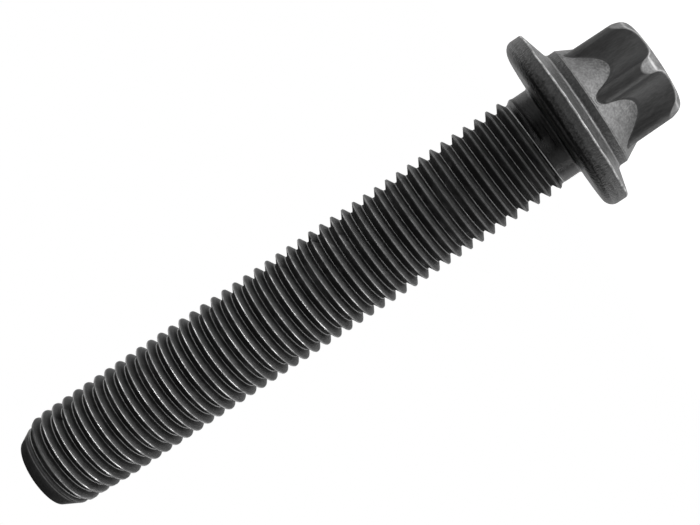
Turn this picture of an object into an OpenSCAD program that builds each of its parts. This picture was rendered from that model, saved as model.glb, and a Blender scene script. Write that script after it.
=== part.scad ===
// Connecting rod bolt with a flanged head and an external six-lobe drive.
// The origin is the middle of the bearing face under the head, and +Z runs to the tip.
// The bolt stands on the flat top of its head.

/* [Thread] */
// Outside diameter of the thread
thread_d = 9.9; // [9:0.05:11]
// Distance from one crest to the next
thread_pitch = 1.25; // [1:0.25:1.5]
// Length from the bearing face to the tip
shank_l = 59.2; // [45:0.1:65]
// Diameter of the flat end of the tip
tip_d = 7.2; // [6:0.1:7.8]
// Angle between the tapered tip and the axis
tip_angle = 27; // [18:0.5:32]
// Turns over which the thread runs out beside the neck
runout_turns = 1.35; // [1:0.05:1.6]

/* [Neck] */
// Length of the plain neck under the head
neck_l = 2.2; // [1.6:0.1:6]
// Radius where the neck meets the bearing face
neck_fillet = 0.7; // [0.3:0.05:1]

/* [Flange] */
// Diameter of the flange rim
flange_d = 18; // [16.5:0.1:20]
// Diameter of the flat bearing face
bearing_d = 15.2; // [12.5:0.1:15.9]
// Height over which the lower edge of the rim is rounded
rim_round_h = 1.5; // [0.8:0.1:1.8]
// Height of the rim, up to its top edge
rim_h = 2.2; // [2.2:0.1:3.2]
// Radius of the rim's top edge
rim_edge = 0.25; // [0.1:0.05:0.4]
// Slope of the flange's top face
flange_slope = 13.5; // [8:0.5:22]

/* [Collar] */
// Diameter of the collar above the flange
collar_d = 12.14; // [11.98:0.02:12.6]
// Height of the collar, above the foot of its wall
collar_h = 1; // [0.6:0.05:1.4]
// Angle between the cone above the collar and the axis
cone_angle = 29; // [24:0.5:34]

/* [Drive] */
// Diameter over the six lobes
lobe_d = 11.5; // [10.9:0.05:11.8]
// Diameter between opposite flutes
flute_d = 8.4; // [7.8:0.05:8.7]
// Radius of each lobe's tip
lobe_tip_r = 0.8; // [0.6:0.05:1]
// Height of the head, from the bearing face to its top
head_h = 10.9; // [10:0.1:12.5]
// Height of the long chamfer on the lobes
lobe_chamfer_h = 1.15; // [0.6:0.05:1.5]
// Angle between the long chamfer and the axis
lobe_chamfer_angle = 27; // [18:0.5:30]
// Height of the rounded shoulder at the top
shoulder_h = 0.8; // [0.4:0.1:1]
// Diameter of the flat top of the head
top_d = 7; // [6:0.1:7.6]

/* [Hidden] */
// Straight steps in one turn of the thread
turn_steps = 24;
// Straight steps in each rounded edge
arc_steps = 8;
// Steps of turned surfaces
turned_steps = 96;
// World angle at which the crest leaves the end of the neck
thread_start_angle = 90;
// World angle of the first lobe
first_lobe_angle = -90;
lobe_count = 6;
lobe_pitch_angle = 360 / lobe_count;

// Thread form with 60 degree flanks, a crest of an eighth and a root of a sixth of the pitch
flank_angle = 30;
thread_r = thread_d / 2;
crest_half = thread_pitch / 16;
root_half = thread_pitch / 2 - thread_pitch / 12;
thread_depth = (root_half - crest_half) / tan(flank_angle);
root_r = thread_r - thread_depth;
// The thread is rolled on a blank as thick as the neck, close to the pitch diameter
neck_r = thread_r - 0.31 * thread_pitch;
// The crest sinks to this height above the neck, and then into it
runout_proud = 0.3 * (thread_r - neck_r);
runout_sunk = 0.5 * (neck_r - root_r);
full_crest_turn = 0.75;
thin_crest_turn = full_crest_turn - runout_turns;
hidden_turns = 1.25;
// The last turn ends this far short of the tip's flat end
tip_gap = 0.15;
least_flank = 0.05;

first_step = -round(hidden_turns * turn_steps);
last_step = floor((shank_l - tip_gap - root_half - neck_l) / thread_pitch * turn_steps);
step_count = last_step - first_step + 1;
profile_points = 4;

flange_r = flange_d / 2;
bearing_r = bearing_d / 2;
collar_r = collar_d / 2;
collar_foot_h = rim_h + (flange_r - collar_r) * tan(flange_slope);
collar_top_h = collar_foot_h + collar_h;
lobe_r = lobe_d / 2;
flute_r = flute_d / 2;
top_r = top_d / 2;
// The cone above the collar ends inside the drive, below the flutes
cone_end_r = flute_r - 0.5;
cone_end_h = collar_top_h + (collar_r - cone_end_r) / tan(cone_angle);

// Lobe and flute arcs touch where the line between their centres crosses them
lobe_centre = lobe_r - lobe_tip_r;
flute_arc_r = (pow(lobe_centre, 2) + pow(flute_r, 2) - pow(lobe_tip_r, 2)
    - 2 * lobe_centre * flute_r * cos(lobe_pitch_angle / 2))
    / (2 * lobe_tip_r - 2 * flute_r + 2 * lobe_centre * cos(lobe_pitch_angle / 2));
flute_centre = flute_r + flute_arc_r;
lobe_arc = atan2(flute_centre * sin(lobe_pitch_angle / 2),
    flute_centre * cos(lobe_pitch_angle / 2) - lobe_centre);
flute_arc = 2 * lobe_arc - lobe_pitch_angle;

// Points of an elliptical arc from one angle to another
function arc_points(centre, half_w, half_h, from, to, steps = arc_steps) =
    [for (k = [0 : steps])
        let (a = from + (to - from) * k / steps)
        centre + [half_w * cos(a), half_h * sin(a)]];

// Turned shape of the neck, flange, collar and cone
module turned_head() {
    rotate_extrude($fn = turned_steps)
        polygon(concat(
            [[0, neck_l], [neck_r, neck_l]],
            arc_points([neck_r + neck_fillet, neck_fillet], neck_fillet, neck_fillet, 180, 270),
            arc_points([bearing_r, -rim_round_h], flange_r - bearing_r, rim_round_h, 90, 0),
            arc_points([flange_r - rim_edge, -rim_h + rim_edge], rim_edge, rim_edge,
                0, flange_slope - 90),
            [[collar_r, -collar_foot_h],
             [collar_r, -collar_top_h],
             [cone_end_r, -cone_end_h],
             [0, -cone_end_h]]));
}

// Cross-section of the drive: convex lobe tips joined by concave flutes
module drive_outline() {
    polygon([for (k = [0 : lobe_count - 1])
        let (lobe_a = first_lobe_angle + lobe_pitch_angle * k,
             flute_a = lobe_a + lobe_pitch_angle / 2)
        each concat(
            arc_points(lobe_centre * [cos(lobe_a), sin(lobe_a)], lobe_tip_r, lobe_tip_r,
                lobe_a - lobe_arc, lobe_a + lobe_arc),
            [for (j = [1 : arc_steps - 1])
                let (a = flute_a + 180 + flute_arc * (0.5 - j / arc_steps))
                flute_centre * [cos(flute_a), sin(flute_a)] + flute_arc_r * [cos(a), sin(a)]])]);
}

// Turned shape that trims the lobes: long chamfer, rounded shoulder and flat top
module drive_envelope() {
    shoulder_r = lobe_r - lobe_chamfer_h * tan(lobe_chamfer_angle);
    shoulder_base_h = head_h - shoulder_h;
    // The shoulder is an arc that runs out level into the flat top
    shoulder_arc_r = (pow(shoulder_r - top_r, 2) + pow(shoulder_h, 2)) / (2 * shoulder_h);
    shoulder_start = asin(1 - shoulder_h / shoulder_arc_r);
    overlap = 1;
    wide_r = lobe_r + overlap * tan(lobe_chamfer_angle);
    rotate_extrude($fn = turned_steps)
        polygon(concat(
            [[0, 0],
             [wide_r, 0],
             [wide_r, -(shoulder_base_h - lobe_chamfer_h - overlap)]],
            arc_points([top_r, shoulder_arc_r - head_h], shoulder_arc_r, shoulder_arc_r,
                -shoulder_start, -90),
            [[0, -head_h]]));
}

module drive() {
    start_h = (collar_foot_h + collar_top_h) / 2;
    intersection() {
        translate([0, 0, -head_h - 1])
            linear_extrude(height = head_h + 1 - start_h)
                drive_outline();
        drive_envelope();
    }
}

// Radius of the tapered tip at a height
function taper_r(z) = tip_d / 2 + (shank_l - z) * tan(tip_angle);

// Radius of the crest at a turn: it thins beside the neck and then sinks into it
function crest_r(turn) =
    turn >= full_crest_turn ? thread_r
    : turn >= thin_crest_turn
        ? thread_r - (thread_r - neck_r - runout_proud) * (full_crest_turn - turn) / runout_turns
    : neck_r - runout_sunk;

// Half width of the thread at a radius, on its flanks
function thread_half(r) = min(crest_half + (thread_r - r) * tan(flank_angle), root_half - least_flank);

// Point of the thread's profile at a step along the helix
function thread_point(step, k) =
    let (turn = step / turn_steps,
         angle = thread_start_angle + 360 * turn,
         middle_z = neck_l + thread_pitch * turn,
         on_root = k == 0 || k == 3,
         side = k < 2 ? -1 : 1,
         full_r = on_root ? root_r : min(crest_r(turn), taper_r(middle_z)),
         z = middle_z + side * (on_root ? root_half : thread_half(full_r)),
         r = min(full_r, taper_r(z)))
    [r * cos(angle), r * sin(angle), z];

function thread_index(step, k) = (step - first_step) * profile_points + k;

function quad(a, b, c, d) = [[a, d, c], [a, c, b]];

// Threaded shank as one closed surface that winds from the neck to the tip
module threaded_shank() {
    base_point = step_count * profile_points;
    ring_start = base_point + 1;
    last_turn = last_step - turn_steps;
    end_angle = thread_start_angle + 360 * last_step / turn_steps;
    points = concat(
        [for (i = [first_step : last_step], k = [0 : 3]) thread_point(i, k)],
        [[0, 0, neck_l - thread_pitch * hidden_turns]],
        [for (i = [0 : turn_steps - 1])
            let (a = end_angle + 360 * i / turn_steps)
            [tip_d / 2 * cos(a), tip_d / 2 * sin(a), shank_l]]);
    winding = [for (i = [first_step : last_step - 1], k = [0 : 2])
        each quad(thread_index(i, k), thread_index(i + 1, k),
            thread_index(i + 1, k + 1), thread_index(i, k + 1))];
    roots = [for (i = [first_step : last_turn - 1])
        each quad(thread_index(i, 3), thread_index(i + 1, 3),
            thread_index(i + 1 + turn_steps, 0), thread_index(i + turn_steps, 0))];
    base_edge = concat(
        [for (i = [0 : turn_steps]) thread_index(first_step + i, 0)],
        [for (k = [3 : -1 : 1]) thread_index(first_step, k)]);
    base = [for (i = [0 : len(base_edge) - 1])
        [base_point, base_edge[i], base_edge[(i + 1) % len(base_edge)]]];
    // The last turn meets the flat end in a ring of quads, with a fan at the step between turns
    step_edge = concat([thread_index(last_turn, 3)], [for (k = [0 : 3]) thread_index(last_step, k)]);
    fan = [for (i = [0 : len(step_edge) - 2])
        [thread_index(last_turn + 1, 3), step_edge[i], step_edge[i + 1]]];
    tip = concat(fan,
        quad(thread_index(last_step, 3), thread_index(last_turn + 1, 3), ring_start + 1, ring_start),
        [for (i = [1 : turn_steps - 1])
            each quad(thread_index(last_turn + i, 3), thread_index(last_turn + i + 1, 3),
                ring_start + (i + 1) % turn_steps, ring_start + i)]);
    flat_end = [[for (i = [turn_steps - 1 : -1 : 0]) ring_start + i]];
    polyhedron(points, concat(winding, roots, base, tip, flat_end));
}

module rod_bolt() {
    color([0.2, 0.2, 0.21])
        union() {
            turned_head();
            drive();
            threaded_shank();
        }
}

rod_bolt();
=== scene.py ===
import math
import bpy
from mathutils import Matrix, Vector, noise


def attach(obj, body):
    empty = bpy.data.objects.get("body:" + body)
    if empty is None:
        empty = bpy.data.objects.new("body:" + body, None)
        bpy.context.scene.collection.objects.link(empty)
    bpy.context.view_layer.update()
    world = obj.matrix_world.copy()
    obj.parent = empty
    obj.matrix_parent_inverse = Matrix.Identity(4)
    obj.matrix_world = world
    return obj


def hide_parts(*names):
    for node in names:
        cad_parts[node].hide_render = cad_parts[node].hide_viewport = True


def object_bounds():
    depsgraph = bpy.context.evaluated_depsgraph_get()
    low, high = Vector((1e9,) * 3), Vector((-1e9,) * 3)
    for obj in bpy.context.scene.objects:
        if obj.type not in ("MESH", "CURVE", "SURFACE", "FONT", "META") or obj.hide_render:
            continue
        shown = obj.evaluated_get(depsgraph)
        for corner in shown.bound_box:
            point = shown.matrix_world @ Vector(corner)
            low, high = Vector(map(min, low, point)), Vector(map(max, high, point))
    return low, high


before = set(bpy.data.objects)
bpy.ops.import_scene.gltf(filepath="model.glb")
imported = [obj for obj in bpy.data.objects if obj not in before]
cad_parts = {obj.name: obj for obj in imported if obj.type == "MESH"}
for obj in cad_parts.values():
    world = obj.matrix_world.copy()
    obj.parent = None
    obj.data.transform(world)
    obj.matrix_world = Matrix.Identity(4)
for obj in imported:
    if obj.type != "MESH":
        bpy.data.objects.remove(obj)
cadLow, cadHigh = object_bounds()
print("frame loaded:", sorted(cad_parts))

mm = 0.001
# places of the finishes in the bolt's list of materials
threadFinish, rimFinish, coneFinish, driveFinish, bareFinish, neckFinish = range(6)

# Sizes in mm, heights from the bearing face
thread = {
    "radius": 4.95,
    "pitch": 1.25,
    "flankSlope": math.tan(math.radians(30)),
    "crestHalf": 0.078,
    "rootRadius": 4.183,
    # points of one turn: place across it, with the crest at 0 and the head on the negative side,
    # and how far they lie below the thread's radius with an open and with a closed crest
    "crest": [(-0.112, 0.072, 0.068), (-0.085, 0.034, 0.034), (-0.045, 0.008, 0.011), (0.0, 0.040, 0.003),
              (0.045, 0.006, 0.0), (0.075, 0.010, 0.005), (0.1, 0.036, 0.026)],
    "flank": (0.16, 0.30, 0.47),
    # and how far above the root's radius
    "root": [(-0.66, 0.006), (-0.585, 0.02), (-0.51, 0.038), (0.545, 0.0)],
    "footPlace": -0.51,           # foot of the flank that faces the head
    "columns": 90,
    "startTurn": -0.5,            # the mesh starts at the front of the neck
    "startAngle": 90.0,           # angle of the crest at the end of the neck
    "turns": 44,                  # and ends at the back of the tip
    "endPlace": 14,
    "endFade": 0.4,               # turns over which the groove ends on the taper
    "crestFade": (1.5, 3.0),      # heights between which the crest grows out of the neck
    "rootFade": (1.85, 3.0),      # and the groove sinks into it
    "seamEnd": 30.0,              # the fold along the crest is closed from here to the tip
    "crestWaver": 0.007,          # unevenness of the crest, within this distance of its middle
    "waverWidth": 0.1,
    "waverScale": (3, 1.7),       # around and along the bolt
    "tipRadius": 3.6,
    "tipSlope": math.tan(math.radians(27)),
    "tipRound": 0.12,
    "endRings": (3.0, 2.0, 1.0, 0.3),
    "flatDepth": 0.2,             # flattening of the last crests on one side
    "flatHeights": (51, 56),
    "flatSide": (0.68, 0.95),
}
# Wear, stains, painted light and painted shade of the thread from 0 to 1. A side runs from 1 where the last
# crests are flattened to
# -1 opposite, and is 0 at the front and back
threadLook = {
    "worn": (0.14, 1.0),          # wear of the crest beside the head and at the tip; lower beside the head partly as painted shade of the flange
    "wornHeights": (4, 36),
    "wornFade": (1.5, 3.2),       # heights over which it starts
    "wornLine": (0.03, 0.05),     # middle and half width of the bright line along the crest
    "wornBack": 0.12,             # wear of the crest beside it
    "foldLips": (0.055, 0.03),    # place and half width of the bright lips of the open fold
    "paintedSideShade": 0.6,              # painted shade: how far the bright line fades towards the sides
    "paintedSideShadeFrom": (0.66, 0.8),
    "rubbedEdge": -0.06,          # the crest is rubbed from here to the line on one side of the last turns
    "rubbedSide": (0.5, 0.66),
    "rubbedEnd": (0.8, 0.7),
    "rubbedHeights": (40, 48),
    "broadPatches": (0.45, 0.5, 0.35),   # strength, and scale around and along the bolt
    "finePatches": (0.35, 2.3),
    "paintedRootHighlight": (1.8, 1.1),       # painted highlight: a pale line at the foot of the flank, beside the head and at the tip
    "paintedRootHighlightSide": (0.7, 1.7),   # its share at the front and at the sides: more painted highlight at the sides
    "paintedRootHighlightSpan": 0.5,
    # painted shade in the root of the groove
    "paintedRootShade": -1.0,
    # painted light high on the flank that faces the head, painted shade low on it and on the flank that
    # faces the tip
    "paintedFlankLightAndShade": {-0.16: 0.05, -0.30: 0.1, -0.47: -0.4, 0.16: -0.6, 0.30: -0.9, 0.47: -1.0},
    "paleFade": (1.7, 2.5),       # heights over which the painted light, and the painted shade and dark stains, start
    "darkFade": (1.9, 3.2),
    "tipStain": (-0.1, -0.65),    # on the taper and beside the end face
    "tipStainSpan": (1.2, 0.6),   # distance from the end face
    "cutDepth": 0.12,             # depth at which the taper has cut the crest away
    "cutWear": 0.4,               # share of the wear and of the painted shade and stain that goes with it
    "cutStain": 0.6,
    "darkeningPerDepth": 6.0,          # darkening of a mark for each mm of its depth
}
neck = {
    "radius": 4.5625,
    "length": 2.2,
    "fillet": 0.7,
    "joint": 0.74,                # height where the mesh of the head meets that of the neck
    "jointStrip": 0.03,           # height of the strip that joins them
    "lead": 0.2,                  # distance of a plain row from the first row of the thread
    "end": 2.35,                  # height where the finish of the thread starts
}


def ease(low, high, value):
    t = min(max((value - low) / (high - low), 0.0), 1.0)
    return t * t * (3 - 2 * t)


def mix(a, b, t):
    return a + (b - a) * t


# Profile of the rolled thread: places across one turn, from root to root
def threadPlaces():
    places = [p[0] for p in thread["crest"]] + [p[0] for p in thread["root"]]
    return sorted(places + [side * p for p in thread["flank"] for side in (-1, 1)])


# Wear of the crest: two bright lips beside the head, one bright line at the tip
def crestWear(across, z, side, closed):
    middle, width = threadLook["wornLine"]
    lipPlace, lipWidth = threadLook["foldLips"]
    lips = math.exp(-((abs(across) - lipPlace) / lipWidth) ** 2)
    line = math.exp(-((across - middle) / width) ** 4)
    # painted shade: the bright line is worn less towards the sides
    line *= 1 - threadLook["paintedSideShade"] * ease(*threadLook["paintedSideShadeFrom"], abs(side))
    back = threadLook["wornBack"] if across < middle else 0
    if threadLook["rubbedEdge"] < across < middle:
        onSide = ease(*threadLook["rubbedSide"], side) * ease(*threadLook["rubbedEnd"], side)
        back = max(back, onSide * ease(*threadLook["rubbedHeights"], z))
    return mix(lips, max(line, back), closed)


# Radius, wear, and painted light, shade and stain at one of these places, before the thread fades into the
# neck
def threadProfile(across, z, side):
    closed = ease(0, thread["seamEnd"], z)
    for place, seam, full in thread["crest"]:
        if across == place:
            return thread["radius"] - mix(seam, full, closed), crestWear(across, z, side, closed), 0
    for place, above in thread["root"]:
        if across == place:
            # painted shade in the root
            paintedLightAndStain = threadLook["paintedRootShade"]
            # painted highlight along the foot of the flank, brighter towards the sides
            if place == thread["footPlace"]:
                share = mix(*threadLook["paintedRootHighlightSide"], ease(0, threadLook["paintedRootHighlightSpan"], abs(side)))
                paintedLightAndStain = mix(*threadLook["paintedRootHighlight"], closed) * share
            return thread["rootRadius"] + above, 0, paintedLightAndStain
    # painted light and painted shade on the flanks
    paintedLightAndStain = threadLook["paintedFlankLightAndShade"][across]
    return thread["radius"] - (abs(across) - thread["crestHalf"]) / thread["flankSlope"], 0, paintedLightAndStain


def taperRadius(z, tipZ):
    return thread["tipRadius"] + (tipZ - z) * thread["tipSlope"]


# Nicks and rubbed spots in the thread: height, angle in degrees, width, depth and wear
marks = [
    (24.5, -26.0, 0.34, 0.36, 0.0),
    (24.1, -34.0, 0.28, 0.30, 0.0),
    (27.8, -41.0, 0.20, 0.12, 0.0),
    (21.6, -50.0, 0.20, 0.10, 0.0),
    (26.3, -156.0, 0.25, 0.10, 0.0),
    (53.8, -38.0, 0.32, 0.14, 0.0),
    (52.9, -33.0, 0.28, 0.12, 0.0),
    (41.0, -70.0, 0.20, 0.08, 0.0),
    (47.5, 140.0, 0.35, 0.08, 0.0),
    (18.0, 100.0, 0.30, 0.08, 0.0),
    (33.5, 62.0, 0.30, 0.09, 0.0),
    (56.2, -160.0, 0.30, 0.06, 0.1),
    (54.9, -147.0, 0.30, 0.05, 0.3),
    (53.4, -158.0, 0.35, 0.06, 0.1),
    (51.8, -150.0, 0.30, 0.05, 0.3),
    (50.1, -155.0, 0.30, 0.05, 0.1),
    (21.2, -63.0, 0.22, 0.02, 1.0),
    (19.9, -69.0, 0.20, 0.02, 1.0),
    (22.6, -58.0, 0.22, 0.02, 0.8),
    (18.6, -84.0, 0.20, 0.02, 0.7),
    (25.8, -101.0, 0.18, 0.03, 0.5),
    (55.8, -66.0, 0.22, 0.02, 0.9),
    (30.5, 75.0, 0.25, 0.02, 0.8),
    (44.0, 120.0, 0.25, 0.02, 0.8),
]


# Radius with the marks in it, how much darker they are and how far they are rubbed bare
def marked(r, z, angle):
    darkening = rubbed = 0
    for markZ, markAngle, width, depth, worn in marks:
        along = (angle - markAngle + 180) % 360 - 180
        apart = (z - markZ) ** 2 + (math.radians(along) * thread["radius"]) ** 2
        near = math.exp(-apart / width ** 2)
        r -= depth * near
        darkening = max(darkening, near * min(threadLook["darkeningPerDepth"] * depth, 1) * (1 - worn))
        rubbed = max(rubbed, near * worn)
    return r, darkening, rubbed


# Patches where the wear, the stains and the painted light and shade are stronger or weaker
def patchiness(place, z):
    broad, around, along = threadLook["broadPatches"]
    fine, scale = threadLook["finePatches"]
    even = 1 + broad * noise.noise(Vector((place.x * around, place.y * around, z * along)))
    return even + fine * noise.noise(place * scale)


# Point of the thread at one angle and place across a turn, with its wear, and its painted light, shade and
# stain
def threadPoint(turn, across, angle, tipZ):
    z = neck["length"] + thread["pitch"] * turn + across
    side = -math.cos(angle)
    r, wear, paintedLightAndStain = threadProfile(across, z, side)
    fade = thread["crestFade"] if r > neck["radius"] else thread["rootFade"]
    r = mix(neck["radius"], r, ease(*fade, z))

    # cut off by the taper, where the groove ends
    taper = taperRadius(z, tipZ)
    cut = ease(0, threadLook["cutDepth"], r - taper)
    r = min(r, taper)
    wear *= 1 - threadLook["cutWear"] * cut
    cut *= threadLook["cutStain"]
    if taper < thread["radius"]:
        lastTurn = thread["turns"] + 1
        end = ease(lastTurn - thread["endFade"], lastTurn, turn)
        r = mix(r, taper, end)
        wear *= 1 - end
        cut = max(cut, end)
    tipStain = mix(*threadLook["tipStain"], ease(*threadLook["tipStainSpan"], tipZ - z))
    paintedLightAndStain = mix(paintedLightAndStain, tipStain, cut)

    # flattened, wavering and marked
    flat = thread["flatDepth"] * ease(*thread["flatHeights"], z) * ease(*thread["flatSide"], side)
    r = min(r, thread["radius"] - flat)
    around, along = thread["waverScale"]
    place = Vector((math.cos(angle) * around, math.sin(angle) * around, z * along))
    if abs(across) < thread["waverWidth"]:
        r += thread["crestWaver"] * noise.noise(place) * ease(*thread["crestFade"], z)
    r, darkening, rubbed = marked(r, z, math.degrees(angle))
    r = min(r, thread["radius"])

    uneven = patchiness(place, z)
    wear *= mix(*threadLook["worn"], ease(*threadLook["wornHeights"], z))
    wear *= ease(*threadLook["wornFade"], z) * uneven * (1 - darkening)
    wear = max(wear, rubbed if r > neck["radius"] else 0)
    paintedLightAndStain *= uneven * ease(*threadLook["paleFade" if paintedLightAndStain > 0 else "darkFade"], z)
    return (r * math.cos(angle), r * math.sin(angle), z), wear, mix(paintedLightAndStain, -1, darkening)


# Heights in the head run from the bearing face towards the top of the head
head = {
    "bearingRadius": 7.6,
    "flangeOff": 0.07,            # the rim is a little off centre
    "rimRound": 1.5,
    "rimUneven": 0.2,             # and rounder below on one side
    "rimHeight": 2.13,
    "rimWaver": 0.07,             # unevenness of its upper edge
    "rimWaverScale": 7,
    "rimEdge": 0.125,
    "flangeSlope": math.tan(math.radians(15.6)),
    "footRound": 0.32,
    "collarRadius": 6.07,
    "collarOff": -0.055,
    "collarHeight": 0.95,
    "collarEdge": 0.06,
    "coneEdge": 0.22,
    "coneFinishEnd": 0.2,         # share of that rounding with the finish of the cone
    "coneSlope": math.tan(math.radians(29)),
    "coneWear": 0.25,             # beside the collar
    "coneSpan": 3.3,              # height over which it fades
    "paintedSeamShade": 0.6,             # painted shade: a dark line along the sides of the lobes, this many steps wide
    "seamSteps": 3,
    "lobeRadius": 5.75,
    "fluteRadius": 4.2,
    "lobeTip": 0.8,
    "lobeDraft": 0.04,
    "lobeSteps": 14,
    "fluteSteps": 20,
    "fluteEnd": 0.05,             # width of the chamfer in the flutes
    "chamferHeight": 1.15,
    "chamferSlope": math.tan(math.radians(27)),
    "shoulderHeight": 0.8,
    "topRadius": 3.5,
    "topRing": 0.4,               # smallest ring of the mesh on the flat top
    "edge": 0.09,
    "wallWear": 0.2,              # at the top of the drive's wall
    "edgeWear": (0.15, 0.5),      # and of its edge on the lobes and in the flutes
    "wearWidth": 1.6,             # how fast wear grows towards the middle of a rounded corner
    # share along the chamfer and the round shoulder, and wear
    "chamferWear": [(0.3, 0.1), (0.6, 0.1), (0.9, 0.3), (1.0, 1.0)],
    "shoulderWear": [(0.05, 0.8), (0.12, 0.1), (0.3, 0), (0.5, 0), (0.7, 0), (0.85, 0), (1.0, 0)],
}


# Corner of a profile cut back on both sides and rounded as a conic, close to an arc
def roundedCorner(before, corner, after, steps):
    weight = 0.707
    points = []
    for k in range(steps + 1):
        t = k / steps
        a, b, c = (1 - t) ** 2, 2 * weight * t * (1 - t), t * t
        total = a + b + c
        points.append(tuple((a * p + b * q + c * s) / total for p, q, s in zip(before, corner, after)))
    return points


# Point at a distance from the start, and short of the middle
def towards(start, end, distance):
    length = math.dist(start, end)
    share = min(distance / length, 0.48)
    return tuple(mix(p, q, share) for p, q in zip(start, end))


# Outline of the drive as radius and angle, and how near each point is to the seam of lobe and flute
def lobeOutline():
    half = math.radians(30)
    centre = head["lobeRadius"] - head["lobeTip"]
    flute, tip = head["fluteRadius"], head["lobeTip"]
    arcRadius = ((centre ** 2 + flute ** 2 - tip ** 2 - 2 * centre * flute * math.cos(half))
                 / (2 * tip - 2 * flute + 2 * centre * math.cos(half)))
    fluteCentre = flute + arcRadius
    lobeArc = math.atan2(fluteCentre * math.sin(half), fluteCentre * math.cos(half) - centre)
    fluteArc = 2 * lobeArc - 2 * half
    outline = []

    def addArc(x, y, radius, turned, step, steps):
        seam = max(0, 1 - min(step, steps - step) / head["seamSteps"])
        outline.append((x + radius * math.cos(turned), y + radius * math.sin(turned), seam))

    for k in range(6):
        lobeAngle = math.radians(-90 + 60 * k)
        fluteAngle = lobeAngle + half
        for j in range(head["lobeSteps"] + 1):
            a = lobeAngle + lobeArc * (2 * j / head["lobeSteps"] - 1)
            addArc(centre * math.cos(lobeAngle), centre * math.sin(lobeAngle), tip, a, j, head["lobeSteps"])
        for j in range(1, head["fluteSteps"]):
            a = fluteAngle + math.pi + fluteArc * (0.5 - j / head["fluteSteps"])
            addArc(fluteCentre * math.cos(fluteAngle), fluteCentre * math.sin(fluteAngle), arcRadius, a,
                   j, head["fluteSteps"])
    return [(math.hypot(x, y), math.atan2(y, x), seam) for x, y, seam in outline]


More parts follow.
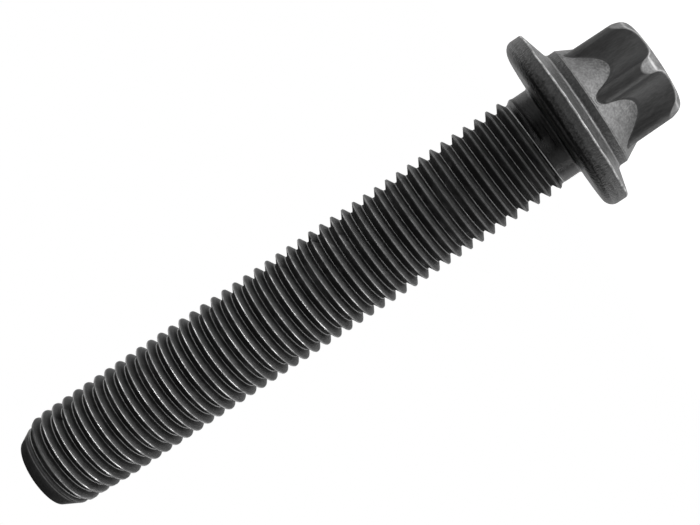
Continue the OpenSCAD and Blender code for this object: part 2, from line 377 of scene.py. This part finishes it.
# Profile of the head at one angle: points (radius, height), their wear and painted shade,
# and the finish of each strip between them
def headColumn(lobe, angle, seam, headHeight, flangeRadius):
    rim = flangeRadius - head["flangeOff"] * (1 - math.cos(angle))
    uneven = head["rimUneven"] * math.cos(angle)
    collar = head["collarRadius"] + head["collarOff"] * math.cos(angle)
    scale = head["rimWaverScale"]
    waver = noise.noise(Vector((math.cos(angle) * scale, math.sin(angle) * scale, 0.5)))
    rimHeight = head["rimHeight"] + head["rimWaver"] * waver
    collarFoot = head["rimHeight"] + (rim - collar) * head["flangeSlope"]
    collarTop = collarFoot + head["collarHeight"]
    lobeFoot, lobe = lobe + head["lobeDraft"], lobe - head["lobeDraft"]
    coneEnd = collarTop + (collar - lobeFoot) / head["coneSlope"]
    shoulderBase = headHeight - head["shoulderHeight"]
    shoulder = head["lobeRadius"] - head["chamferHeight"] * head["chamferSlope"]
    width = shoulder - head["topRadius"]
    arc = (width ** 2 + head["shoulderHeight"] ** 2) / (2 * head["shoulderHeight"])

    def onArc(radius):
        x = radius - head["topRadius"]
        return radius, headHeight - arc + math.sqrt(arc * arc - x * x)

    onLobe = lobe > shoulder
    if onLobe:
        wallEnd = (lobe, shoulderBase - (lobe - shoulder) / head["chamferSlope"])
        chamferEnd = shoulder
    else:
        wallEnd = onArc(lobe)
        chamferEnd = lobe - head["fluteEnd"]
    # corner, how far it is cut back before and after, steps of its rounding and its wear
    rimCut = rim - head["bearingRadius"] + uneven
    corners = [
        ((neck["radius"], -neck["joint"]), None, None, 0, 0),
        ((neck["radius"], 0.0), neck["fillet"], neck["fillet"], 7, 0),
        ((rim, 0.0), rimCut, head["rimRound"] + uneven, 12, 0),
        ((rim, rimHeight), head["rimEdge"], head["rimEdge"], 6, 1),
        ((collar, collarFoot), head["footRound"], head["footRound"], 6, 0.35),
        ((collar, collarTop), head["collarEdge"], head["collarEdge"], 4, 0.25),
        ((lobeFoot, coneEnd), head["coneEdge"], head["coneEdge"], 6, 0),
        (wallEnd, None, None, 0, 0),
    ]
    rimCorner, footCorner, coneCorner = 3, 4, 6
    # finish and number of strips of the stretch after each corner
    stretches = [(neckFinish, 2), (rimFinish, 6), (rimFinish, 4), (coneFinish, 8), (rimFinish, 5),
                 (coneFinish, 10), (driveFinish, 10)]
    points, wear, paintedLightAndStainList, finish = [], [], [], []

    def coneWorn(height):
        return head["coneWear"] * max(0, 1 - (height - collarTop) / head["coneSpan"])

    def add(point, worn, kind, paintedLightAndStain=0):
        if points:
            finish.append(kind)
        points.append(point)
        wear.append(worn)
        paintedLightAndStainList.append(paintedLightAndStain)

    def addCorner(i):
        corner, before, after, steps, most = corners[i]
        start = towards(corner, corners[i - 1][0], before)
        end = towards(corner, corners[i + 1][0], after)
        change = steps * (head["coneFinishEnd"] if i == coneCorner else 0.5)
        for k, point in enumerate(roundedCorner(start, corner, end, steps)):
            middle = 1 - abs(2 * (k + (i == rimCorner)) / steps - 1)
            worn = most * min(1, head["wearWidth"] * middle)
            if i == coneCorner:
                worn = coneWorn(point[1]) if k <= change else 0
            elif i == footCorner and k > change:
                worn = 0
            add(point, worn, stretches[i - 1 if k <= change else i][0])

    def addStretch(i):
        kind, count = stretches[i]
        reach = corners[i + 1][1]
        start = points[-1]
        end = towards(corners[i + 1][0], corners[i][0], head["edge"] if reach is None else reach)
        near = min(head["edge"] / max(math.dist(start, end), 0.01), 0.3)
        for k in range(count):
            share = near if k == 0 else (1 - near if k == count - 1 else k / (count - 1))
            point = tuple(mix(p, q, share) for p, q in zip(start, end))
            # painted shade along the seams of lobes and flutes
            paintedLightAndStain = -head["paintedSeamShade"] * seam if kind == driveFinish else 0
            add(point, coneWorn(point[1]) if i == coneCorner - 1 else 0, kind, paintedLightAndStain)

    add(corners[0][0], 0, neckFinish)
    addStretch(0)
    for i in range(1, len(corners) - 1):
        addCorner(i)
        addStretch(i)
    add(towards(wallEnd, corners[-2][0], head["edge"]), head["wallWear"], driveFinish)

    # Worn edge of the wall, long chamfer, round shoulder and flat top
    chamfer = (chamferEnd, shoulderBase) if onLobe else onArc(chamferEnd)
    edge = roundedCorner(points[-1], wallEnd, towards(wallEnd, chamfer, head["edge"]), 4)
    for k, point in enumerate(edge[1:]):
        add(point, head["edgeWear"][0 if onLobe else 1], driveFinish if k == 0 else bareFinish)
    start = points[-1]
    for share, worn in head["chamferWear"]:
        add(tuple(mix(p, q, share) for p, q in zip(start, chamfer)), worn, bareFinish)
    for share, worn in head["shoulderWear"]:
        add(onArc(mix(chamferEnd, head["topRadius"], share)), worn, bareFinish)
    for k in range(1, 5):
        add((mix(head["topRadius"], head["topRing"], k / 4), headHeight), 0, bareFinish)
    return points, wear, paintedLightAndStainList, finish


# Strip of triangles between two rings that have different numbers of points
def zipRings(lower, upper):
    faces = []
    i = j = 0
    turn = 2 * math.pi
    while i < len(lower) or j < len(upper):
        a, b = lower[i % len(lower)], upper[j % len(upper)]
        nextLower = lower[(i + 1) % len(lower)][1] + turn * ((i + 1) // len(lower))
        nextUpper = upper[(j + 1) % len(upper)][1] + turn * ((j + 1) // len(upper))
        if j >= len(upper) or (i < len(lower) and nextLower <= nextUpper):
            faces.append((a[0], lower[(i + 1) % len(lower)][0], b[0]))
            i += 1
        else:
            faces.append((a[0], upper[(j + 1) % len(upper)][0], b[0]))
            j += 1
    return faces


def buildBolt():
    headHeight = -cadLow.z / mm
    tipZ = cadHigh.z / mm
    flangeRadius = cadHigh.x / mm
    verts, wears, paintedLightAndStainList, faces, kinds = [], [], [], [], []

    def addVert(point, wear, paintedLightAndStain=0):
        verts.append(tuple(c * mm for c in point))
        wears.append(wear)
        paintedLightAndStainList.append(paintedLightAndStain)
        return len(verts) - 1

    def addFace(indices, kind):
        faces.append(tuple(indices))
        kinds.append(kind)

    # Threaded shank: columns of points that climb one pitch in each turn
    columns, across = thread["columns"], threadPlaces()
    perTurn = len(across)
    rows = thread["turns"] * perTurn + thread["endPlace"]
    endColumn = round(-thread["startTurn"] * columns)
    grid = []
    angles = []
    for j in range(columns):
        shift = thread["startTurn"] + j / columns
        angle = math.radians(thread["startAngle"] + 360 * shift)
        angles.append(angle)
        column = []
        for m in range(rows + 1 + (perTurn if j <= endColumn else 0)):
            column.append(addVert(*threadPoint(m // perTurn + shift, across[m % perTurn], angle, tipZ)))
        grid.append(column)

    def shankVert(j, m):
        return grid[j][m] if j < columns else grid[j - columns][m + perTurn]

    for j in range(columns):
        for m in range(rows + (perTurn if j < endColumn else 0)):
            corners = (shankVert(j, m), shankVert(j + 1, m), shankVert(j + 1, m + 1), shankVert(j, m + 1))
            onNeck = verts[corners[0]][2] < neck["end"] * mm
            addFace(corners, neckFinish if onNeck else threadFinish)

    def ring(r, z, paintedLightAndStain=0):
        return [addVert((r * math.cos(a), r * math.sin(a), z), 0, paintedLightAndStain) for a in angles]

    def joinRings(low, high):
        for j in range(columns):
            k = (j + 1) % columns
            addFace((low[j], low[k], high[k], high[j]), threadFinish)

    # Plain neck below the first turn, with the step between turns in one face
    neckFoot = neck["joint"] + neck["jointStrip"]
    neckRing = ring(neck["radius"], neckFoot)
    leadRow = []
    for column, a in zip(grid, angles):
        z = verts[column[0]][2] / mm
        z = max(z - neck["lead"], (z + neckFoot) / 2)
        leadRow.append(addVert((neck["radius"] * math.cos(a), neck["radius"] * math.sin(a), z), 0))
    for j in range(columns - 1):
        addFace((neckRing[j], neckRing[j + 1], leadRow[j + 1], leadRow[j]), neckFinish)
        addFace((leadRow[j], leadRow[j + 1], grid[j + 1][0], grid[j][0]), neckFinish)
    step = [leadRow[0]] + grid[0][:perTurn + 1] + [grid[-1][0], leadRow[-1]]
    addFace([neckRing[-1], neckRing[0]] + step, neckFinish)

    # Tapered tip with a rounded flat end
    cut = thread["tipRound"]
    corner = (thread["tipRadius"], tipZ)
    before = (taperRadius(tipZ - cut, tipZ), tipZ - cut)
    after = (thread["tipRadius"] - cut, tipZ)
    endStain = threadLook["tipStain"][1]
    rings = [ring(r, z, endStain) for r, z in roundedCorner(before, corner, after, 5)]
    rings += [ring(r, tipZ, endStain / 2) for r in thread["endRings"]]
    for j in range(endColumn + 1, endColumn + columns):
        addFace((shankVert(j, rows), shankVert(j + 1, rows),
                 rings[0][(j + 1) % columns], rings[0][j % columns]), threadFinish)
    j = endColumn
    seam = [grid[j][rows + k] for k in range(perTurn, 0, -1)]
    addFace([grid[j][rows], shankVert(j + 1, rows), rings[0][j + 1], rings[0][j]] + seam, threadFinish)
    for low, high in zip(rings, rings[1:]):
        joinRings(low, high)
    addFace(rings[-1], threadFinish)

    # Head: one profile for each angle of the drive's outline
    outline = sorted(lobeOutline(), key=lambda p: p[1] % (2 * math.pi))
    headGrid = []
    for lobe, angle, seam in outline:
        points, wear, paintedLightAndStain, finish = headColumn(lobe, angle, seam, headHeight, flangeRadius)
        headGrid.append([addVert((r * math.cos(angle), r * math.sin(angle), -h), w, s)
                         for (r, h), w, s in zip(points, wear, paintedLightAndStain)])
    for j in range(len(headGrid)):
        one, two = headGrid[j], headGrid[(j + 1) % len(headGrid)]
        for m, kind in enumerate(finish):
            addFace((one[m + 1], two[m + 1], two[m], one[m]), kind)
    addFace([column[-1] for column in reversed(headGrid)], bareFinish)
    lower = [(column[0], a % (2 * math.pi)) for column, (r, a, seam) in zip(headGrid, outline)]
    upper = sorted(((v, a % (2 * math.pi)) for v, a in zip(neckRing, angles)), key=lambda p: p[1])
    for face in zipRings(lower, upper):
        addFace(face, neckFinish)

    mesh = bpy.data.meshes.new("rodBoltMesh")
    mesh.from_pydata(verts, [], faces)
    mesh.polygons.foreach_set("material_index", kinds)
    mesh.polygons.foreach_set("use_smooth", [True] * len(faces))
    for name, values in (("wear", wears), ("paintedLightAndStain", paintedLightAndStainList)):
        layer = mesh.attributes.new(name, "FLOAT", "POINT")
        layer.data.foreach_set("value", values)
    mesh.update()
    bolt = bpy.data.objects.new("rodBolt", mesh)
    bpy.context.scene.collection.objects.link(bolt)
    return bolt


# Shader helpers
def newGroup(name, inputs, outputs):
    group = bpy.data.node_groups.new(name, "ShaderNodeTree")
    for label, default in inputs:
        socket = group.interface.new_socket(label, in_out="INPUT", socket_type="NodeSocketFloat")
        socket.default_value = default
    for label in outputs:
        group.interface.new_socket(label, in_out="OUTPUT", socket_type="NodeSocketFloat")
    return group, group.nodes.new("NodeGroupInput"), group.nodes.new("NodeGroupOutput")


def link(tree, source, target):
    tree.links.new(source, target)


# Gives a socket a number, or a link from another socket
def feed(tree, socket, value):
    if isinstance(value, (int, float)):
        socket.default_value = value
    else:
        link(tree, value, socket)


def mathNode(tree, operation, first, second, clamp=False):
    node = tree.nodes.new("ShaderNodeMath")
    node.operation = operation
    node.use_clamp = clamp
    feed(tree, node.inputs[0], first)
    feed(tree, node.inputs[1], second)
    return node.outputs[0]


def mapRange(tree, value, fromLow, fromHigh, toLow=0.0, toHigh=1.0):
    node = tree.nodes.new("ShaderNodeMapRange")
    node.interpolation_type = "SMOOTHSTEP"
    link(tree, value, node.inputs["Value"])
    for label, amount in (("From Min", fromLow), ("From Max", fromHigh),
                          ("To Min", toLow), ("To Max", toHigh)):
        feed(tree, node.inputs[label], amount)
    return node.outputs["Result"]


def noiseNode(tree, vector, scale, detail=3.0, roughness=0.55):
    node = tree.nodes.new("ShaderNodeTexNoise")
    link(tree, vector, node.inputs["Vector"])
    feed(tree, node.inputs["Scale"], scale)
    node.inputs["Detail"].default_value = detail
    node.inputs["Roughness"].default_value = roughness
    return node.outputs["Fac"]


# Object coordinates, scaled across and along the bolt
def stretched(tree, across, along):
    scales = tree.nodes.new("ShaderNodeCombineXYZ")
    for label, scale in (("X", across), ("Y", across), ("Z", along)):
        feed(tree, scales.inputs[label], scale)
    node = tree.nodes.new("ShaderNodeVectorMath")
    node.operation = "MULTIPLY"
    link(tree, tree.nodes.new("ShaderNodeTexCoord").outputs["Object"], node.inputs[0])
    link(tree, scales.outputs["Vector"], node.inputs[1])
    return node.outputs["Vector"]


def heightOf(tree):
    node = tree.nodes.new("ShaderNodeSeparateXYZ")
    link(tree, tree.nodes.new("ShaderNodeTexCoord").outputs["Object"], node.inputs["Vector"])
    return node.outputs["Z"]


# Crystals of the phosphate coat: soft blotches with fine grain over them
def makePhosphateGrain():
    group, given, result = newGroup(
        "phosphateGrain",
        [("Blotch Scale", 900), ("Grain Scale", 6000), ("Grain", 0.5), ("Stretch", 1), ("Gain", 1)],
        ["Shade", "Height"])
    place = stretched(group, 1, given.outputs["Stretch"])
    blotch = noiseNode(group, place, given.outputs["Blotch Scale"], 4.0, 0.6)
    grain = noiseNode(group, place, given.outputs["Grain Scale"], 2.0, 0.5)
    soft = mapRange(group, blotch, 0.32, 0.70)
    fine = mapRange(group, grain, 0.35, 0.68)
    shade = group.nodes.new("ShaderNodeMix")
    link(group, given.outputs["Grain"], shade.inputs["Factor"])
    link(group, soft, shade.inputs["A"])
    link(group, fine, shade.inputs["B"])
    gained = mathNode(group, "MULTIPLY", shade.outputs["Result"], given.outputs["Gain"])
    height = mathNode(group, "ADD", mathNode(group, "MULTIPLY", soft, 0.4), fine)
    link(group, gained, result.inputs["Shade"])
    link(group, height, result.inputs["Height"])
    return group


# Where the coat is rubbed through to bare steel, from the wear painted on the mesh
def makeRubbedSteel():
    group, given, result = newGroup(
        "rubbedSteel", [("Amount", 1.0), ("Break Scale", 1500), ("Break", 0.5)], ["Mask"])
    worn = group.nodes.new("ShaderNodeAttribute")
    worn.attribute_name = "wear"
    place = group.nodes.new("ShaderNodeTexCoord").outputs["Object"]
    broken = noiseNode(group, place, given.outputs["Break Scale"], 3.0, 0.6)
    gaps = mapRange(group, broken, 0.35, 0.62)
    coated = mathNode(group, "SUBTRACT", 1.0, gaps)
    kept = mathNode(group, "SUBTRACT", 1.0, mathNode(group, "MULTIPLY", given.outputs["Break"], coated))
    mask = mathNode(group, "MULTIPLY", worn.outputs["Fac"], kept)
    link(group, mathNode(group, "MULTIPLY", mask, given.outputs["Amount"], True), result.inputs["Mask"])
    return group


# Painted highlights and painted light (Pale), and painted shade, dark stains and darker marks (Dark), from
# the values painted on the mesh
def makePaintedLightAndStainedCoat():
    group, given, result = newGroup("paintedLightAndStainedCoat", [("Break Scale", 1200)], ["Pale", "Dark"])
    paintedLightAndStain = group.nodes.new("ShaderNodeAttribute")
    paintedLightAndStain.attribute_name = "paintedLightAndStain"
    place = group.nodes.new("ShaderNodeTexCoord").outputs["Object"]
    broken = noiseNode(group, place, given.outputs["Break Scale"], 3.0, 0.6)
    broken = mapRange(group, broken, 0.25, 0.6, 0.45, 1.0)
    pale = mathNode(group, "MULTIPLY", paintedLightAndStain.outputs["Fac"], broken, True)
    dark = mathNode(group, "MULTIPLY", paintedLightAndStain.outputs["Fac"], -1.0, True)
    link(group, pale, result.inputs["Pale"])
    link(group, dark, result.inputs["Dark"])
    return group


# Fine lines left by turning, between two heights
def makeTurnedLines():
    group, given, result = newGroup(
        "turnedLines", [("Line Scale", 6000), ("Low", 0), ("High", 1), ("Amount", 0.3)], ["Lines"])
    lines = noiseNode(group, stretched(group, 0.04, 1), given.outputs["Line Scale"], 2.0, 0.5)
    height = heightOf(group)
    inside = mathNode(group, "MULTIPLY", mathNode(group, "GREATER_THAN", height, given.outputs["Low"]),
                      mathNode(group, "LESS_THAN", height, given.outputs["High"]))
    level = mapRange(group, lines, 0.36, 0.64, -1.0, 1.0)
    level = mathNode(group, "MULTIPLY", level, given.outputs["Amount"])
    link(group, mathNode(group, "MULTIPLY", level, inside), result.inputs["Lines"])
    return group


# Paler band with a wavy edge: partly a paler coat and partly painted light
def makePaleCoatAndLitBand():
    group, given, result = newGroup(
        "paleCoatAndLitBandGroup",
        [("From", 0), ("To", 1), ("Wave", 0.0003), ("Wave Scale", 500), ("Amount", 0.4)],
        ["Band"])
    wave = noiseNode(group, stretched(group, 1, 0.3), given.outputs["Wave Scale"], 3.0, 0.6)
    wave = mathNode(group, "MULTIPLY", mathNode(group, "SUBTRACT", wave, 0.5), given.outputs["Wave"])
    height = mathNode(group, "ADD", heightOf(group), wave)
    paleCoatAndLitBand = mapRange(group, height, given.outputs["From"], given.outputs["To"])
    link(group, mathNode(group, "MULTIPLY", paleCoatAndLitBand, given.outputs["Amount"]), result.inputs["Band"])
    return group


def placeGroup(tree, group, values):
    node = tree.nodes.new("ShaderNodeGroup")
    node.node_tree = group
    for label, value in values.items():
        node.inputs[label].default_value = value
    return node


def colourMix(tree, factor, first, second):
    node = tree.nodes.new("ShaderNodeMix")
    node.data_type = "RGBA"
    link(tree, factor, node.inputs["Factor"])
    # the Mix node's sockets for colours
    for socket, value in ((node.inputs[6], first), (node.inputs[7], second)):
        if isinstance(value, float):
            socket.default_value = (value, value, value, 1.0)
        else:
            link(tree, value, socket)
    return node.outputs[2]


# Shared by all finishes: tone and roughness of the painted shade and dark stains, bare steel and the depth
# of the grain in m
coat = {"shadeAndStainTone": 0.003, "shadeAndStainRough": 0.9, "bareMetal": 0.95, "grainDepth": 0.05 * mm}
# Grey levels of each finish: the dark and the pale part of its coat, bare steel and the tone of painted
# highlights and painted light.
# Scales are per m, heights in m
finishes = {
    "threadSteel": {
        "dark": 0.025, "pale": 0.07, "bare": 0.52, "paintedLightTone": 0.32,
        "grain": {"Blotch Scale": 500, "Grain Scale": 7000, "Grain": 0.45},
        "rub": {"Amount": 0.95, "Break Scale": 900, "Break": 0.45},
        "roughDark": 0.44, "roughBare": 0.26, "metal": 0.1, "specular": 0.14, "bump": 0.1,
    },
    "rimSteel": {
        "dark": 0.004, "pale": 0.062, "bare": 0.74, "paintedLightTone": 0.2,
        "grain": {"Blotch Scale": 2200, "Grain Scale": 4600, "Grain": 0.65, "Stretch": 0.7, "Gain": 0.38},
        "rub": {"Amount": 1.0, "Break Scale": 1000, "Break": 0.75},
        "lines": {"Line Scale": 4500, "Low": -0.0007, "High": 0.0, "Amount": 0.35},
        # paler upper rim: partly its coat, partly painted light where it faces the lamp
        "paleCoatAndLitBand": {"From": -0.0010, "To": -0.0013, "Wave": 0.0010, "Wave Scale": 900, "Amount": 0.52},
        "roughDark": 0.42, "roughBare": 0.36, "metal": 0.2, "specular": 0.2, "bump": 0.6,
    },
    "coneSteel": {
        "dark": 0.07, "pale": 0.205, "bare": 0.58, "paintedLightTone": 0.3,
        "grain": {"Blotch Scale": 1500, "Grain Scale": 4800, "Grain": 0.6},
        "rub": {"Amount": 1.0, "Break Scale": 700, "Break": 0.35},
        "roughDark": 0.46, "roughBare": 0.42, "metal": 0.75, "specular": 0.5, "bump": 0.3,
    },
    "driveSteel": {
        "dark": 0.012, "pale": 0.036, "bare": 0.5, "paintedLightTone": 0.2,
        "grain": {"Blotch Scale": 1600, "Grain Scale": 7000, "Grain": 0.45, "Stretch": 0.25},
        "rub": {"Amount": 0.9, "Break Scale": 900, "Break": 0.3},
        "roughDark": 0.4, "roughBare": 0.38, "metal": 0.2, "specular": 0.5, "bump": 0.2,
    },
    "bareSteel": {
        "dark": 0.065, "pale": 0.185, "bare": 0.74, "paintedLightTone": 0.3,
        "grain": {"Blotch Scale": 1400, "Grain Scale": 4500, "Grain": 0.5},
        "rub": {"Amount": 0.68, "Break Scale": 900, "Break": 0.4},
        "roughDark": 0.5, "roughBare": 0.38, "metal": 0.5, "specular": 0.5, "bump": 0.25,
    },
    # coat darker than the thread's: painted shade under the flange
    "shadedNeckSteel": {
        "dark": 0.002, "pale": 0.011, "bare": 0.5, "paintedLightTone": 0.3,
        "grain": {"Blotch Scale": 500, "Grain Scale": 7000, "Grain": 0.4, "Stretch": 6},
        "rub": {"Amount": 0.8, "Break Scale": 900, "Break": 0.4},
        "lines": {"Line Scale": 5000, "Low": -1, "High": 1, "Amount": 0.25},
        "roughDark": 0.2, "roughBare": 0.36, "metal": 0.0, "specular": 0.09, "bump": 0.12,
    },
}


def makeFinish(name, look, groups):
    material = bpy.data.materials.new(name)
    material.use_nodes = True
    tree = material.node_tree
    shader = tree.nodes["Principled BSDF"]
    shader.inputs["Specular IOR Level"].default_value = look["specular"]
    grain = placeGroup(tree, groups["grain"], look["grain"])
    rub = placeGroup(tree, groups["rub"], look["rub"]).outputs["Mask"]
    paintedLightAndStain = placeGroup(tree, groups["paintedLightAndStain"], {})
    shade = grain.outputs["Shade"]
    for label, output in (("lines", "Lines"), ("paleCoatAndLitBand", "Band")):
        if label in look:
            extra = placeGroup(tree, groups[label], look[label])
            shade = mathNode(tree, "ADD", shade, extra.outputs[output], True)
    colour = colourMix(tree, shade, look["dark"], look["pale"])
    # painted highlights and painted light
    colour = colourMix(tree, paintedLightAndStain.outputs["Pale"], colour, look["paintedLightTone"])
    colour = colourMix(tree, rub, colour, look["bare"])
    # painted shade, dark stains and darker marks
    colour = colourMix(tree, paintedLightAndStain.outputs["Dark"], colour, coat["shadeAndStainTone"])
    link(tree, colour, shader.inputs["Base Color"])
    rough = mapRange(tree, rub, 0.0, 1.0, look["roughDark"], look["roughBare"])
    shadeAndStainRough = mapRange(tree, paintedLightAndStain.outputs["Dark"], 0.0, 1.0, 0.0, coat["shadeAndStainRough"])
    link(tree, mathNode(tree, "MAXIMUM", rough, shadeAndStainRough), shader.inputs["Roughness"])
    metal = mapRange(tree, rub, 0.0, 1.0, look["metal"], coat["bareMetal"])
    link(tree, metal, shader.inputs["Metallic"])
    bump = tree.nodes.new("ShaderNodeBump")
    bump.inputs["Strength"].default_value = look["bump"]
    bump.inputs["Distance"].default_value = coat["grainDepth"]
    link(tree, grain.outputs["Height"], bump.inputs["Height"])
    link(tree, bump.outputs["Normal"], shader.inputs["Normal"])
    return material


bolt = buildBolt()
groups = {
    "grain": makePhosphateGrain(),
    "rub": makeRubbedSteel(),
    "paintedLightAndStain": makePaintedLightAndStainedCoat(),
    "lines": makeTurnedLines(),
    "paleCoatAndLitBand": makePaleCoatAndLitBand(),
}
for name, look in finishes.items():
    bolt.data.materials.append(makeFinish(name, look, groups))
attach(bolt, "root")
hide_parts("rod_bolt")
print("bolt built:", len(bolt.data.vertices), "points,", len(bolt.data.polygons), "faces")

# Light table in a dark room: white surroundings, dark cards behind the camera, overhead and on the
# table, a band of soft boxes around the bolt, a small lamp beside it and two lamps under the table
studio = {
    "fill": 0.05,
    "gloss": 1.0,
    "floorSize": 3.0,
    "floorGlow": 0.96,
    "floorGloss": 0.4,
    "cards": {
        # place in m, tilt from level and size
        "frontCard": ((0, -0.45, 0.34), 90, (1.2, 0.7)),
        "roofCard": ((0, 0.08, 0.36), 0, (2.0, 0.76)),
        "floorCard": ((0, -0.31, cadLow.z + 0.5 * mm), 0, (1.6, 0.59)),
    },
    "boxes": {
        # direction from the bolt as azimuth from the camera and elevation, distance, size, level
        "leftBox": (-66, 5, 0.40, (0.34, 0.14), 2.6),
        "rightBox": (66, 5, 0.40, (0.34, 0.14), 2.5),
        "leftBackBox": (-120, 8, 0.40, (0.24, 0.24), 2.2),
        "rightBackBox": (120, 8, 0.40, (0.24, 0.24), 2.2),
        "frontBox": (0, 18, 0.40, (0.52, 0.085), 6.0),
        "sparkLamp": (-90, 0, 0.40, (0.04, 0.04), 40.0),
        "tableLamp": (-8, -72, 0.40, (0.30, 0.18), 8.8),
        "underLamp": (180, -58, 0.40, (0.12, 0.12), 4.0),
    },
}


def whiteToCamera(tree, gloss, fill):
    path = tree.nodes.new("ShaderNodeLightPath")
    seen = mathNode(tree, "MAXIMUM", path.outputs["Is Camera Ray"], path.outputs["Is Transmission Ray"])
    glossy = mapRange(tree, path.outputs["Is Glossy Ray"], 0.0, 1.0, fill, gloss)
    return mathNode(tree, "MAXIMUM", seen, glossy)


def makeWorld():
    world = bpy.data.worlds.new("lightTent")
    world.use_nodes = True
    tree = world.node_tree
    background = tree.nodes["Background"]
    background.inputs["Color"].default_value = (1, 1, 1, 1)
    link(tree, whiteToCamera(tree, studio["gloss"], studio["fill"]), background.inputs["Strength"])
    bpy.context.scene.world = world


def makeFloor():
    size = studio["floorSize"] / 2
    mesh = bpy.data.meshes.new("floorMesh")
    corners = [(-size, -size), (size, -size), (size, size), (-size, size)]
    mesh.from_pydata([(x, y, cadLow.z) for x, y in corners], [], [(0, 1, 2, 3)])
    floor = bpy.data.objects.new("floor", mesh)
    bpy.context.scene.collection.objects.link(floor)
    material = bpy.data.materials.new("paleFloor")
    material.use_nodes = True
    tree = material.node_tree
    shader = tree.nodes["Principled BSDF"]
    shader.inputs["Base Color"].default_value = (0.9, 0.9, 0.9, 1)
    shader.inputs["Roughness"].default_value = 0.9
    shader.inputs["Emission Color"].default_value = (1, 1, 1, 1)
    glow = whiteToCamera(tree, studio["floorGloss"], 0.0)
    link(tree, mathNode(tree, "MULTIPLY", glow, studio["floorGlow"]), shader.inputs["Emission Strength"])
    mesh.materials.append(material)
    floor.visible_shadow = False      # lets the table's own lamp through


def makeCards():
    material = bpy.data.materials.new("darkCard")
    material.use_nodes = True
    shader = material.node_tree.nodes["Principled BSDF"]
    shader.inputs["Base Color"].default_value = (0.01, 0.01, 0.01, 1)
    shader.inputs["Roughness"].default_value = 0.9
    shader.inputs["Specular IOR Level"].default_value = 0.0
    for name, (place, tilt, size) in studio["cards"].items():
        wide, high = (length / 2 for length in size)
        mesh = bpy.data.meshes.new(name + "Mesh")
        mesh.from_pydata([(-wide, -high, 0), (wide, -high, 0), (wide, high, 0), (-wide, high, 0)],
                         [], [(0, 1, 2, 3)])
        mesh.materials.append(material)
        card = bpy.data.objects.new(name, mesh)
        card.location = place
        card.rotation_euler = (math.radians(tilt), 0, 0)
        card.visible_camera = False
        card.visible_shadow = False
        bpy.context.scene.collection.objects.link(card)


def makeBoxes():
    middle = Vector((0, 0, (cadLow.z + cadHigh.z) / 2))
    for name, (azimuth, elevation, distance, size, level) in studio["boxes"].items():
        a, e = math.radians(azimuth), math.radians(elevation)
        direction = Vector((math.sin(a) * math.cos(e), -math.cos(a) * math.cos(e), math.sin(e)))
        light = bpy.data.lights.new(name, "AREA")
        light.shape = "RECTANGLE"
        light.size, light.size_y = size
        light.energy = level * math.pi * size[0] * size[1]
        lamp = bpy.data.objects.new(name, light)
        lamp.location = middle + direction * distance
        lamp.rotation_euler = direction.to_track_quat("Z", "Y").to_euler()
        bpy.context.scene.collection.objects.link(lamp)


makeWorld()
makeFloor()
makeCards()
makeBoxes()
print("light tent ready")

# Camera at the photograph's place, rolled so that the bolt lies across the frame
shot = {
    "place": (0.0, -146.929, 4.105),   # mm
    "rise": 7.251,
    "turn": 0.141,
    "roll": -123.93,
    "lens": 80.743,
    "sensor": 36.0,
}


def makeCamera():
    data = bpy.data.cameras.new("camera")
    data.sensor_fit = "HORIZONTAL"
    data.sensor_width = shot["sensor"]
    data.lens = shot["lens"]
    data.clip_start = 0.005
    camera = bpy.data.objects.new("camera", data)
    e, a = math.radians(shot["rise"]), math.radians(shot["turn"])
    view = Vector((math.sin(a) * math.cos(e), math.cos(a) * math.cos(e), math.sin(e)))
    level = view.cross(Vector((0, 0, 1))).normalized()
    upright = level.cross(view)
    roll = math.radians(shot["roll"])
    right = level * math.cos(roll) + upright * math.sin(roll)
    up = upright * math.cos(roll) - level * math.sin(roll)
    place = Vector(shot["place"]) * mm
    camera.matrix_world = Matrix((
        (right.x, up.x, -view.x, place.x),
        (right.y, up.y, -view.y, place.y),
        (right.z, up.z, -view.z, place.z),
        (0, 0, 0, 1)))
    bpy.context.scene.collection.objects.link(camera)
    bpy.context.scene.camera = camera


makeCamera()
bpy.context.scene.view_settings.view_transform = "Standard"
print("camera set")
